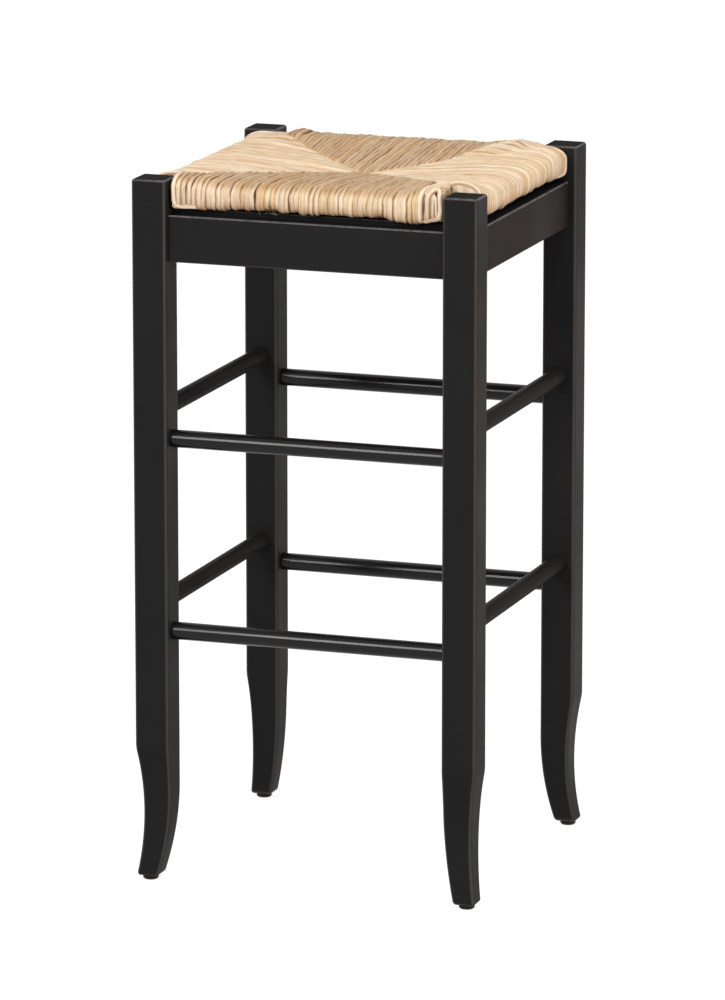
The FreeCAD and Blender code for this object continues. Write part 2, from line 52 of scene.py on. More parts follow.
# Places taken from the frame
seat_low, seat_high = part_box("rush_seat")
rail_low, rail_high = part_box("seat_rail_front")
RUSH_LAYER = rail_low.z - seat_low.z
SEAT_BOTTOM = seat_low.z
SEAT_CROWN = rail_high.z + RUSH_LAYER
SEAT_NOSE = seat_high.x
ROLL_END = rail_high.x + RUSH_LAYER


def linear(code):
    """A written sRGB colour as linear red, green and blue."""
    channels = [int(code[place:place + 2], 16) / 255 for place in (0, 2, 4)]
    return [c / 12.92 if c <= 0.04045 else ((c + 0.055) / 1.055) ** 2.4 for c in channels]


# Materials

class Shader:
    """A node material with short calls for the nodes that it is made of."""

    def __init__(self, name):
        self.material = bpy.data.materials.new(name)
        self.material.use_nodes = True
        self.tree = self.material.node_tree
        self.surface = self.tree.nodes["Principled BSDF"]

    def node(self, kind, **settings):
        made = self.tree.nodes.new("ShaderNode" + kind)
        for name, value in settings.items():
            setattr(made, name, value)
        return made

    def feed(self, socket, value):
        """Links a socket to an output, or sets a plain value on it."""
        if isinstance(value, bpy.types.NodeSocket):
            self.tree.links.new(value, socket)
        else:
            socket.default_value = value

    def set(self, **values):
        for name, value in values.items():
            self.feed(self.surface.inputs[name.replace("_", " ")], value)

    def math(self, operation, first, second=0.0):
        made = self.node("Math", operation=operation)
        self.feed(made.inputs[0], first)
        self.feed(made.inputs[1], second)
        return made.outputs[0]

    def blend(self, share, first, second, mode="MIX"):
        made = self.node("Mix", data_type="RGBA", blend_type=mode)
        self.feed(made.inputs["Factor"], share)
        for socket, colour in ((made.inputs[6], first), (made.inputs[7], second)):
            self.feed(socket, colour if isinstance(colour, bpy.types.NodeSocket) else [*colour, 1])
        return made.outputs[2]

    def ramp(self, value, between, gives=(0.0, 1.0)):
        """A smooth step from one result to the other while the value goes between two limits."""
        made = self.node("MapRange", interpolation_type="SMOOTHSTEP")
        names = ("Value", "From Min", "From Max", "To Min", "To Max")
        for name, number in zip(names, (value, *between, *gives)):
            self.feed(made.inputs[name], number)
        return made.outputs[0]

    def stretch(self, vector, scale):
        made = self.node("Mapping")
        self.feed(made.inputs["Vector"], vector)
        made.inputs["Scale"].default_value = scale
        return made.outputs[0]

    def place(self, scale):
        """The place on the piece, scaled for a noise."""
        return self.stretch(self.node("TexCoord").outputs["Object"], scale)

    def noise(self, vector, detail, rough=0.5):
        made = self.node("TexNoise")
        self.feed(made.inputs["Vector"], vector)
        made.inputs["Scale"].default_value = 1.0
        made.inputs["Detail"].default_value = detail
        made.inputs["Roughness"].default_value = rough
        return made.outputs["Fac"]

    def bump(self, height, depth):
        made = self.node("Bump")
        made.inputs["Distance"].default_value = depth
        made.inputs["Strength"].default_value = 1.0
        self.feed(made.inputs["Height"], height)
        self.feed(self.surface.inputs["Normal"], made.outputs[0])


# Most of a noise's values lie between these
NOISE_RANGE = (0.3, 0.7)

# How squarely a surface faces one way where it turns into an eased edge, looks up, or is a plain face
EASED_EDGE = (0.99, 0.88)
LOOKS_UP = (0.35, 0.6)
PLAIN_FACE = (0.85, 0.97)

# The paint: the scales of its grain and marks, its colours with its painted highlights and side light, and
# how its wear and its roughness go
GRAIN_UP, GRAIN_ACROSS, GRAIN_DEEP = (320, 320, 14), (14, 320, 320), (320, 14, 320)
GRAIN_LEDGERS, GRAIN_BLOCKS = (100, 100, 320), (200, 200, 200)
PAINT_CLOUDS = (9, 9, 9)
WORN_PATCHES = (55, 55, 18)
PAINT_DARK, PAINT_LIGHT = "1a1a1b", "222121"
# Edges: grey for wear and as a painted highlight, a brighter painted highlight on upward edges, and the
# brown of rubbed-through wood
EDGE_WEAR_AND_HIGHLIGHT, UPPER_EDGE_PAINTED_HIGHLIGHT, RUB_BROWN = "3d3b3a", "646262", "453229"
HIGHLIGHT_PATCH_RANGE, HIGHLIGHT_PATCH_SHARES = (0.36, 0.62), (0.15, 1.0)
RUB_RANGE, RUB_SHARE = (0.54, 0.66), 0.75
PAINT_ROUGH = (0.46, 0.56)
EDGE_SMOOTHER = 0.2
TOP_ROUGHER = 0.4
ROD_ROUGH_SPREAD = 0.02
PAINT_RELIEF = 0.12 * MM
ROD_RELIEF = 0.001 * MM


def wear_and_painted_light_shares(shader):
    """How far a point lies on an eased edge, an upward edge, a level top and a face towards the sides.

    Each share goes from 0 to 1 and comes from the way that the surface faces.
    """
    split = shader.node("SeparateXYZ")
    shader.feed(split.inputs[0], shader.node("NewGeometry").outputs["Normal"])
    across, deep, up = [shader.math("ABSOLUTE", out) for out in split.outputs]
    largest = shader.math("MAXIMUM", across, shader.math("MAXIMUM", deep, up))
    edge = shader.ramp(largest, EASED_EDGE)
    upper_edge = shader.math("MULTIPLY", edge, shader.ramp(split.outputs["Z"], LOOKS_UP))
    level_top = shader.ramp(split.outputs["Z"], PLAIN_FACE)
    side_face = shader.ramp(across, PLAIN_FACE)
    return edge, upper_edge, level_top, side_face


def painted_wood(name, grain, side_painted_light="1f1d1c", gloss=0.05):
    """Black satin paint: grey edges of wear and painted highlight, painted side light, and brown where
    rubbed through.
    """
    shader = Shader(name)
    fibres = shader.noise(shader.place(grain), detail=4, rough=0.6)
    clouds = shader.noise(shader.place(PAINT_CLOUDS), detail=2)
    edge, upper_edge, level_top, side_face = wear_and_painted_light_shares(shader)
    paint = shader.blend(clouds, linear(PAINT_DARK), linear(PAINT_LIGHT))
    # Painted light: faces towards the sides take their own warmer tone, for how the light falls on them
    paint = shader.blend(side_face, paint, linear(side_painted_light))
    # Edges turn grey, for wear and as a painted highlight
    paint = shader.blend(edge, paint, linear(EDGE_WEAR_AND_HIGHLIGHT))
    patches = shader.noise(shader.place(WORN_PATCHES), detail=5, rough=0.65)
    # Painted highlight on the upward edges, broken into patches
    painted_highlight = shader.math("MULTIPLY", upper_edge, shader.ramp(patches, HIGHLIGHT_PATCH_RANGE, HIGHLIGHT_PATCH_SHARES))
    paint = shader.blend(painted_highlight, paint, linear(UPPER_EDGE_PAINTED_HIGHLIGHT))
    rubbed = shader.math("MULTIPLY", edge, shader.ramp(patches, RUB_RANGE))
    paint = shader.blend(shader.math("MULTIPLY", rubbed, RUB_SHARE), paint, linear(RUB_BROWN))
    rough = shader.ramp(clouds, NOISE_RANGE, PAINT_ROUGH)
    rough = shader.math("SUBTRACT", rough, shader.math("MULTIPLY", edge, EDGE_SMOOTHER))
    rough = shader.math("ADD", rough, shader.math("MULTIPLY", level_top, TOP_ROUGHER))
    shader.set(Base_Color=paint, Roughness=rough, Specular_IOR_Level=gloss)
    shader.bump(fibres, PAINT_RELIEF)
    return shader.material


def painted_rod(name, grain, dark, light, gloss, rough):
    """The same paint on the turned stretchers, rubbed smoother."""
    shader = Shader(name)
    fibres = shader.noise(shader.place(grain), detail=4, rough=0.6)
    clouds = shader.noise(shader.place(PAINT_CLOUDS), detail=2)
    roughs = (rough - ROD_ROUGH_SPREAD, rough + ROD_ROUGH_SPREAD)
    shader.set(Base_Color=shader.blend(clouds, linear(dark), linear(light)))
    shader.set(Roughness=shader.ramp(clouds, NOISE_RANGE, roughs), Specular_IOR_Level=gloss)
    shader.bump(fibres, ROD_RELIEF)
    return shader.material


# Dried rush: how fine each pattern is round a strand, along it and from strand to strand, the range of its
# noise, how strongly it shows, and its colour
RUSH_STREAKS = ((2.4, 14, 1), (0.44, 0.64), (0.0, 0.45), "d8b487")
RUSH_FIBRES = ((6.5, 26, 1), (0.38, 0.7), (0.0, 0.4), "dcbf97")
RUSH_CLOUDS = ((0.5, 18, 1), (0.5, 0.75), (0.0, 0.4), "e6cfae")
RUSH_FLECKS = ((1.6, 120, 1), (0.68, 0.78), (0.0, 0.45), "7a5431")
# The brown painted as shade at each strand's sides, in the grooves between strands
GROOVE_PAINTED_SHADE = "b08a5c"
RUSH_ROUGH = (0.5, 0.7)
RUSH_GLOSS = 0.4
RUSH_RELIEF = 0.35 * MM


def rush_leaf(name, groove_range, groove_share):
    """Dried rush: own tints, fibres along it, brown flecks, and painted shade at the sides of each strand.
    """
    shader = Shader(name)
    tint = shader.node("Attribute", attribute_name="tint").outputs["Color"]
    strand = shader.node("Attribute", attribute_name="strand").outputs["Vector"]
    split = shader.node("SeparateXYZ")
    shader.feed(split.inputs[0], strand)

    def pattern(kind, detail, rough=0.5):
        scale, between, shares, colour = kind
        noise = shader.noise(shader.stretch(strand, scale), detail, rough)
        return noise, shader.ramp(noise, between, shares), linear(colour)

    _, streaked, streak_colour = pattern(RUSH_STREAKS, detail=2)
    fibres, fibrous, fibre_colour = pattern(RUSH_FIBRES, detail=4, rough=0.65)
    _, clouded, cloud_colour = pattern(RUSH_CLOUDS, detail=3)
    _, flecked, fleck_colour = pattern(RUSH_FLECKS, detail=2)
    colour = shader.blend(streaked, tint, streak_colour, "MULTIPLY")
    colour = shader.blend(fibrous, colour, fibre_colour, "MULTIPLY")
    colour = shader.blend(clouded, colour, cloud_colour, "MULTIPLY")
    colour = shader.blend(flecked, colour, fleck_colour)
    # Painted shade: darker towards each strand's sides, where it meets the next strand in a groove
    sides = shader.math("ABSOLUTE", split.outputs[0])
    groove = shader.ramp(sides, groove_range, (0.0, groove_share))
    colour = shader.blend(groove, colour, linear(GROOVE_PAINTED_SHADE), "MULTIPLY")
    shader.set(Base_Color=colour, Roughness=shader.ramp(fibres, NOISE_RANGE, RUSH_ROUGH))
    shader.set(Specular_IOR_Level=RUSH_GLOSS)
    shader.bump(fibres, RUSH_RELIEF)
    return shader.material


def mottled(name, scale, dark, light, relief, detail, rough=0.5):
    """A material of two colours mixed by a noise that also gives its relief, and that noise."""
    shader = Shader(name)
    mottle = shader.noise(shader.place(scale), detail, rough)
    shader.set(Base_Color=shader.blend(mottle, linear(dark), linear(light)))
    shader.bump(mottle, relief)
    return shader, mottle


def bare_wood():
    """Softwood of the rails under the rush, painted darker as shade where it shows between the strands."""
    shader, _ = mottled("darkened_rail_softwood", scale=(14, 14, 220), dark="6d4c2c", light="8d6a42",
                        relief=0.2 * MM, detail=5, rough=0.6)
    shader.set(Roughness=0.7)
    return shader.material


def straw_core():
    """Dark straw and torn leaf between the two layers of rush."""
    shader, _ = mottled("straw_stuffing", scale=(180, 180, 500), dark="2c1d10", light="6d4f2d",
                        relief=1.2 * MM, detail=5, rough=0.7)
    shader.set(Roughness=0.9)
    return shader.material


def glide_plastic():
    """Scuffed dark nylon under the feet."""
    shader, scuffs = mottled("dark_nylon", scale=(400, 400, 400), dark="120c0b", light="261613",
                             relief=0.1 * MM, detail=4)
    shader.set(Roughness=shader.ramp(scuffs, NOISE_RANGE, (0.4, 0.65)), Specular_IOR_Level=0.15)
    return shader.material


def zinc_steel():
    """Plated screws and nails."""
    shader, spangle = mottled("zinc_steel", scale=(900, 900, 900), dark="8d8a80", light="b9b6aa",
                              relief=0.05 * MM, detail=3)
    shader.set(Metallic=1.0, Roughness=shader.ramp(spangle, NOISE_RANGE, (0.3, 0.5)))
    return shader.material


# Meshes and lines

def ring_quads(rings, count):
    """Faces between each ring of points and the next."""
    here = np.arange(count)
    after = (here + 1) % count
    first = np.arange(rings - 1)[:, None] * count
    second = first + count
    return np.stack([first + here, first + after, second + after, second + here], -1).reshape(-1, 4)


def end_caps(rings, count):
    """The faces that close the first ring and the last."""
    here = np.arange(count)
    return here[::-1], here + (rings - 1) * count


def ring_faces(rings, count, mirrored):
    """All faces of a run of rings, turned the other way round where the run is mirrored."""
    faces = ring_quads(rings, count).tolist() + [cap.tolist() for cap in end_caps(rings, count)]
    return [face[::-1] for face in faces] if mirrored else faces


def new_mesh(name, points, faces, material, rounded=True):
    mesh = bpy.data.meshes.new(name)
    mesh.from_pydata(points.reshape(-1, 3).tolist(), [], faces)
    if rounded:
        mesh.polygons.foreach_set("use_smooth", [True] * len(mesh.polygons))
    mesh.materials.append(material)
    return mesh


def show(name, mesh):
    piece = bpy.data.objects.new(name, mesh)
    bpy.context.scene.collection.objects.link(piece)
    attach(piece, "root")
    return piece


def distance_along(line):
    return np.concatenate([[0], np.cumsum(np.linalg.norm(np.diff(line, axis=0), axis=1))])


def smooth(value, low, high):
    share = np.clip((value - low) / (high - low), 0, 1)
    return share * share * (3 - 2 * share)


def eased(value, points):
    """A value read between given points, with an easy curve from each to the next."""
    for (start, low), (end, high) in zip(points, points[1:]):
        if value <= end:
            return low + (high - low) * smooth(value, start, end)
    return points[-1][1]


def spaced(start, end, step):
    return np.linspace(start, end, max(2, round(abs(end - start) / step) + 1))


CORNER_CUTS = 3


def softened(path):
    """A path with its corners cut to curves."""
    for _ in range(CORNER_CUTS):
        before, after = path[:-1], path[1:]
        cuts = np.stack([0.75 * before + 0.25 * after, 0.25 * before + 0.75 * after], 1)
        path = np.concatenate([path[:1], cuts.reshape(-1, path.shape[1]), path[-1:]])
    return path


# Rush strands: flattened twists of leaf, each with its own tint

STRAND_HALF_WIDTH = 3.2 * MM
STRAND_HALF_HEIGHT = 2.3 * MM
RING_POINTS = 12
LOBES, LOBE_DEPTH = 3, 0.1
TWISTS = (-70, 70)  # radians per metre
WAVE_STARTS = (0, 6.28)
NOISE_SEEDS = (0, 400)
# The waves of a strand's wander: the share of each, and its rate in radians per metre
DRIFT_WAVES = ((0.3, 50), (0.27, 130), (0.24, 240), (0.19, 380))
# The leaf's colours, each with the share of the strands that have it, and how their brightness differs
RUSH_TINTS = [
    (linear("efdec6"), 0.3),
    (linear("e9d5b8"), 0.32),
    (linear("eed9c2"), 0.09),
    (linear("e8d7b4"), 0.09),
    (linear("e3cba8"), 0.14),
    (linear("e2c49c"), 0.04),
    (linear("d8ba94"), 0.02),
]
TINT_SHARES = [share for _, share in RUSH_TINTS]
TINT_SPREAD = (0.93, 1.05)
PALE_RUSH = np.array(RUSH_TINTS[0][0])


def rush_tint():
    colour = RUSH_TINTS[chance.choice(len(RUSH_TINTS), p=TINT_SHARES)][0]
    return np.array(colour) * chance.uniform(*TINT_SPREAD)


def drift(along, size):
    """A slow wander along a strand."""
    waves = [share * np.sin(along * rate + chance.uniform(*WAVE_STARTS)) for share, rate in DRIFT_WAVES]
    return size * sum(waves)


class StrandMesh:
    """Gathers strands into one mesh.

    Each point keeps its strand's tint, its place round and along the strand, and the strand's own seed.
    """

    def __init__(self):
        self.points, self.quads, self.caps, self.tints, self.strands = [], [], [], [], []
        self.count = 0

    def add(self, centre, side, half_width, half_height, tint):
        """A strand along its centre line, with side the way across it."""
        rings = len(centre)
        ahead = np.gradient(centre, axis=0)
        ahead /= np.linalg.norm(ahead, axis=1, keepdims=True)
        side = np.broadcast_to(side, centre.shape)
        side = side - ahead * np.sum(side * ahead, axis=1, keepdims=True)
        side = side / np.linalg.norm(side, axis=1, keepdims=True)
        upward = np.cross(ahead, side)
        along = distance_along(centre)
        turns = np.arange(RING_POINTS) * 2 * math.pi / RING_POINTS
        twist = chance.uniform(*WAVE_STARTS) + along * chance.uniform(*TWISTS)
        lobes = 1 + LOBE_DEPTH * np.cos(LOBES * turns[None, :] + twist[:, None])
        half_width = np.broadcast_to(half_width, rings)[:, None]
        half_height = np.broadcast_to(half_height, rings)[:, None]
        across = (half_width * np.cos(turns) * lobes)[..., None] * side[:, None, :]
        deep = (half_height * np.sin(turns) * lobes)[..., None] * upward[:, None, :]
        self.points.append((centre[:, None, :] + across + deep).reshape(-1, 3))
        self.quads.append(self.count + ring_quads(rings, RING_POINTS))
        self.caps += [(self.count + cap).tolist() for cap in end_caps(rings, RING_POINTS)]
        self.count += rings * RING_POINTS
        self.tints.append(np.repeat(np.broadcast_to(tint, (rings, 3)), RING_POINTS, axis=0))
        around = np.tile(np.cos(turns), rings)
        seed = np.full(rings * RING_POINTS, chance.uniform(*NOISE_SEEDS))
        self.strands.append(np.stack([around, np.repeat(along, RING_POINTS), seed], -1))

    def build(self, name, material):
        faces = np.concatenate(self.quads).tolist() + self.caps
        mesh = new_mesh(name, np.concatenate(self.points), faces, material)
        tint = mesh.attributes.new("tint", "FLOAT_COLOR", "POINT")
        colours = np.concatenate(self.tints)
        tint.data.foreach_set("color", np.column_stack([colours, np.ones(len(colours))]).ravel())
        strand = mesh.attributes.new("strand", "FLOAT_VECTOR", "POINT")
        strand.data.foreach_set("vector", np.concatenate(self.strands).ravel())
        return show(name, mesh)


# The seat's shape: dished in the middle and drawn up at the legs, with rounded rolls outside the rails

DISH_DEPTH = 12 * MM
CROWN_EDGE = 132 * MM
CROWN_CLEAR = 8 * MM
BELLY_RISE = 6 * MM
NOSE_REACH = 24 * MM
NOSE_DROP = 13 * MM
NOSE_POINTS = 8
LOWER_ROUND = 8 * MM
LOWER_POINTS = 6
EDGE_FADE = 25 * MM
SWELL_START = 105 * MM
LEVEL = [(-150, 0), (150, 0)]

# The weave: the strands' pitch and the steps along them, the zone at a roll's ends that is finished by
# itself, how full the strands of the two kinds of fan are and how much darker they are painted as shade,
# and how strands differ
STRAND_PITCH = 5.3 * MM
TOP_STEP = 5 * MM
UNDER_STEP = 8 * MM
CORD_STEP = 2 * MM
END_ZONE = 30.5 * MM
OVER_FULLNESS, OVER_SHADE = 1.06, 0.92
UNDER_FULLNESS, UNDER_SHADE = 1.3, 1.0
FULLNESS_SPREAD = (0.9, 1.12)
UNEVEN_DEPTH = 0.3 * MM
UNEVEN_EDGE = 0.55 * MM
UNEVEN_PLACE = 0.45 * MM

# How a strand wanders: up or out, sideways, and in its width, its height and its tint
LIFT_DRIFT = 0.5 * MM
PLACE_DRIFT = 1.0 * MM
WIDTH_DRIFT, CORD_DRIFT, HEIGHT_DRIFT, TINT_DRIFT = 0.18, 0.12, 0.15, 0.09

# Where strands come out of the mitre, how far those of the lower fans sink there, and their dive into it,
# out and up from the last point on the surface
OVER_START, UNDER_START = 3.0 * MM, 1.5 * MM
UNDER_SINK = 1.6 * MM
DIVE = np.array([(-6.9, -9), (-6.7, -5.5), (-5.6, -2.6), (-3.4, -0.7)]) * MM

# Strands that lean over the next fan: over what run, and what share of the lean they go in and up
LEAN_RUN = 40 * MM
LEAN_INWARD = 0.15
LEAN_RISE = 0.3

# Painted shade: how much darker and browner the strands of the front and back fans are painted on top,
# and every strand is painted below. The first fades round the nose, and the second starts on the face and
# grows round the lower edge.
TOP_PAINTED_SHADE = np.array([0.79, 0.68, 0.55])
BELOW_PAINTED_SHADE = np.array([0.58, 0.45, 0.33])
TOP_PAINTED_SHADE_FADE = (0.3, 0.78)
FACE_BELOW = 0.05
EDGE_BELOW = (0.4, 1)

# A roll's ends, in millimetres: how far in the sunk strands lie, and the points of a hook, which goes down
# the end and then along the lower edge. Each point is in from the notch, round from the top of the nose or
# past the lower edge, and proud of the roll. The way round is longer than the roll is high by the run, and
# the two bands lie at their reaches round it.
HOOKED_SUNK, LOOPED_SUNK = (7.6, 13.4, 19.2, 25), (4.5, 12, 18.5, 25)
HOOK_DOWN = [(2.4, -14, -9), (2.4, -12, -2), (2.4, -8, 0.4), (2.4, 4, 0.6)]
HOOK_ALONG = [(2.4, -9, 0.7), (4.2, -1.5, 0.7), (10, 0, 0.7), (16, 0, 0.6), (22, 0, 0.6), (26, 0, 0.6),
              (29, 6, -3)]
HOOK_RUN, LOOP_RUN = 9, 6
BAND_REACHES = (3.5, 8.5)
# The sunk strands are painted darker, as shade in their recess; the bands are tinted a little darker
SUNK_SHADE, BAND_SHADE = 0.92, 0.95
HOOKED_HALF_WIDTH, HOOKED_RECESS = 3.0 * MM, 0.9 * MM
LOOPED_HALF_WIDTH, LOOPED_RECESS = 3.3 * MM, 2.2 * MM
HOOK_HALF_WIDTH = 2.4 * MM
ARCH_HALF_WIDTH = 3.3 * MM
BAND_HALF_WIDTH = 2.6 * MM
OUTER_HALF_WIDTH = 2.8 * MM
INNER_HALF_WIDTH = 1.7 * MM
# The line round a roll starts this far in from the nose, and its slope is read over the step
ROLL_RUN_IN = 40 * MM
SLOPE_STEP = 0.5 * MM

# The upright strands on a notch's wall: their room at both sides and ends, their pitch, and the points of
# one, in from the notch and up from its top or its bottom
WALL_INNER, WALL_OUTER, WALL_PITCH = 2 * MM, 3 * MM, 4.2 * MM
WALL_TOP, WALL_BOTTOM = 2.2 * MM, 2 * MM
WALL_UPPER = np.array([(7, -6), (3.2, -1), (1.7, -3)]) * MM
WALL_LOWER = np.array([(1.6, 3), (2.6, 0), (7, 1)]) * MM
WALL_HALF_WIDTH, WALL_HALF_DEPTH = 3.2 * MM, 1.3 * MM

# Loose fibres under the front roll: where, how many, how they differ in millimetres, and the points of one:
# its share of the sway, out from the nose and up from the seat's bottom in millimetres
FRAY_PLACE, FRAY_FIBRES = -44 * MM, 7
FRAY_SWAY, FRAY_FALL, FRAY_SPREAD = (-1, 7), (-1, 2), (-9, 9)
FRAY_POINTS = [(0, -7, 7), (0.2, -2, 4), (0.5, -1, 3), (1, -1, 2.5)]
FRAY_HALF_WIDTH, FRAY_HALF_HEIGHT = 0.3 * MM, 0.2 * MM
FRAY_COLOUR = np.array(linear("5a503d"))


def under_surface(out, nose):
    """The height of the seat's underside at a distance out from the middle."""
    low = np.clip((out - nose + LOWER_ROUND) / LOWER_ROUND, 0, 1)
    belly = BELLY_RISE * np.clip(1 - out / CROWN_EDGE, 0, 1)
    return SEAT_BOTTOM + belly + LOWER_ROUND * (1 - np.sqrt(1 - low ** 2))


class Fan:
    """One quarter of the weave: strands across one rail, out of the mitres and round the roll.

    Side is the way along the rail, out is the way from the middle, and over says that its strands lie on
    top at the mitres. The lines are listed points in millimetres, each a place along the rail with a
    value there: the lift of the roll's top, the lift of its lower edge, and how far the strands lean along
    over the next fan. The mitres' lifts and the swell, which is how far the roll stands out, are for its
    two ends.
    """

    def __init__(self, name, side, out, over, roll_line, mitre_lifts,
                 swell=(0, 0), lean_line=LEVEL, edge_line=LEVEL):
        self.name, self.over = name, over
        self.side, self.out = np.array(side, float), np.array(out, float)
        self.roll_line, self.mitre_lifts, self.swell = roll_line, mitre_lifts, swell
        self.lean_line, self.edge_line = lean_line, edge_line
        self.woven = StrandMesh()

    def lean(self, place):
        return eased(place / MM, self.lean_line) * MM

    def lower_lift(self, place):
        return eased(place / MM, self.edge_line) * MM

    def crown(self, place):
        """The height of the roll, which lifts or falls towards the legs."""
        return SEAT_CROWN + eased(place / MM, self.roll_line) * MM

    def nose(self, place):
        """How far out the roll stands."""
        return SEAT_NOSE + self.swell[int(place > 0)] * MM * smooth(abs(place), SWELL_START, ROLL_END)

    def top(self, place, out):
        """The height of the seat's top, at a place along the rail and a distance out from the middle."""
        crown = self.crown(place)
        lift = self.mitre_lifts[int(place > 0)] * MM
        mitre = SEAT_CROWN - DISH_DEPTH + (DISH_DEPTH + lift) * min(abs(place) / ROLL_END, 1)
        edge = max(CROWN_EDGE, abs(place) + CROWN_CLEAR)
        slope = np.clip((out - abs(place)) / (edge - abs(place)), 0, 1)
        nose = np.clip((out - self.nose(place)) / NOSE_REACH + 1, 0, 1)
        return mitre + (crown - mitre) * slope - NOSE_DROP * (1 - np.sqrt(1 - nose ** 2))

    def over_roll(self, place, inset, top_start, under_end, hang=0.0):
        """The line over the roll at a depth under its surface, out and up.

        With it come each point's shares, from 0 to 1, of being on top, which also carries the painted shade
        there, and of the painted shade below.
        """
        nose_end = self.nose(place)
        nose_start = nose_end - NOSE_REACH
        tops = spaced(top_start, nose_start, TOP_STEP)
        top = np.column_stack([tops, self.top(place, tops) - inset])
        turn = np.linspace(0, QUARTER_TURN, NOSE_POINTS + 1)[1:]
        nose = np.column_stack([nose_start + (NOSE_REACH - inset) * np.sin(turn),
                                self.crown(place) - NOSE_DROP + (NOSE_DROP - inset) * np.cos(turn)])
        turn = np.linspace(0, QUARTER_TURN, LOWER_POINTS)
        raised = self.lower_lift(place) - hang
        low_out, low_up = nose_end - LOWER_ROUND, SEAT_BOTTOM + LOWER_ROUND + raised
        low = np.column_stack([low_out + (LOWER_ROUND - inset) * np.cos(turn),
                               low_up - (LOWER_ROUND - inset) * np.sin(turn)])
        face = (nose[-1:] + low[:1]) / 2
        unders = spaced(low_out, under_end, UNDER_STEP)[1:]
        raised = raised * smooth(unders, low_out - EDGE_FADE, low_out)
        under = np.column_stack([unders, under_surface(unders, nose_end) + raised + inset])
        line = np.concatenate([top, nose, face, low, under])
        round_nose = np.linspace(0, 1, len(nose))
        on_top = np.concatenate([np.ones(len(top)), 1 - smooth(round_nose, *TOP_PAINTED_SHADE_FADE),
                                 np.zeros(len(face) + len(low) + len(under))])
        below = np.concatenate([np.zeros(len(top) + len(nose)), np.full(len(face), FACE_BELOW),
                                np.linspace(*EDGE_BELOW, len(low)), np.ones(len(under))])
        return line, on_top, below

    def in_space(self, places, outs, ups):
        along = np.multiply.outer(np.asarray(places), self.side)
        level = along + np.multiply.outer(np.asarray(outs), self.out)
        return level + np.multiply.outer(np.asarray(ups), [0, 0, 1])

    def lay(self, place, half_width, recess=0.0, shade=1.0, hang=0.0):
        """One strand, out of the mitre, over the roll and back underneath, hung lower or higher there."""
        lean = self.lean(place)
        spread = max(0, self.lean(place + STRAND_PITCH) - lean) / STRAND_PITCH
        mitre = abs(place) + (OVER_START if self.over else UNDER_START)
        start = mitre - LEAN_INWARD * abs(lean)
        sink = 0.0 if self.over else UNDER_SINK
        line, on_top, below = self.over_roll(place, STRAND_HALF_HEIGHT + recess, start, mitre, hang)
        line = np.concatenate([line[0] + DIVE, line, line[-1] + DIVE[::-1] * (1, -1)])
        ends = np.ones(len(DIVE))
        on_top = np.concatenate([ends, on_top, ends * 0])
        below = np.concatenate([ends * 0, below, ends])
        along = distance_along(line)
        near_mitre = on_top * (1 - smooth(line[:, 0], start, start + LEAN_RUN))
        lift = drift(along, LIFT_DRIFT)
        places = place + lean * near_mitre + drift(along, PLACE_DRIFT)
        outs = line[:, 0] + lift * (1 - on_top)
        ups = line[:, 1] + lift * on_top + (LEAN_RISE * abs(lean) - sink) * near_mitre
        width = half_width * (1 + drift(along, WIDTH_DRIFT)) * (1 + spread * near_mitre)
        height = STRAND_HALF_HEIGHT * (1 + drift(along, HEIGHT_DRIFT))
        # The tints carry painted shade: darker and browner on top for the front and back fans, and below
        # for all
        tone = TOP_PAINTED_SHADE if self.over else np.ones(3)
        tints = rush_tint() * shade * (1 + drift(along, TINT_DRIFT))[:, None]
        tints = tints * (1 - np.multiply.outer(on_top, 1 - tone))
        tints = tints * (1 - np.multiply.outer(below, 1 - BELOW_PAINTED_SHADE))
        self.woven.add(self.in_space(places, outs, ups), self.side, width, height, tints)

    def weave(self):
        """Strands side by side, from one end zone to the other."""
        reach = ROLL_END - END_ZONE
        strands = round(2 * reach / STRAND_PITCH)
        fullness, shade = (OVER_FULLNESS, OVER_SHADE) if self.over else (UNDER_FULLNESS, UNDER_SHADE)
        for place in np.linspace(-reach, reach, strands):
            half_width = STRAND_HALF_WIDTH * fullness * chance.uniform(*FULLNESS_SPREAD)
            recess = chance.normal(0, UNEVEN_DEPTH)
            hang = chance.normal(0, UNEVEN_EDGE)
            self.lay(place + chance.normal(0, UNEVEN_PLACE), half_width, recess, shade, hang)

    def on_roll(self, place, reach, proud):
        """The spot round the roll from the top of the nose, and the way straight out from it."""
        nose_start = self.nose(place) - NOSE_REACH
        inner = nose_start - ROLL_RUN_IN
        line, _, _ = self.over_roll(place, STRAND_HALF_HEIGHT, inner, inner)
        along = distance_along(line)
        zero = along[np.argmin(abs(line[:len(line) // 2, 0] - nose_start))]
        here, ahead = [np.array([np.interp(zero + reach + step, along, line[:, axis]) for axis in (0, 1)])
                       for step in (0, SLOPE_STEP)]
        rise = np.array([here[1] - ahead[1], ahead[0] - here[0]])
        rise /= np.linalg.norm(rise)
        spot = here + rise * proud
        return self.in_space(place, *spot), self.in_space(0, *rise)

    def lay_round(self, end, path, half_width, tint):
        """A cord on a roll's end.

        Its path is in from the notch, round from the top of the nose and proud of the roll, in millimetres.
        """
        path = softened(np.array(path) * MM)
        along = distance_along(path)
        steps = spaced(0, along[-1], CORD_STEP)
        path = np.column_stack([np.interp(steps, along, values) for values in path.T])
        spots = [self.on_roll(end * (ROLL_END - inward), reach, proud) for inward, reach, proud in path]
        centre = np.array([spot for spot, _ in spots])
        side = np.cross(np.gradient(centre, axis=0), np.array([rise for _, rise in spots]))
        width = half_width * (1 + drift(distance_along(centre), CORD_DRIFT))
        self.woven.add(centre, side, width, STRAND_HALF_HEIGHT, tint)

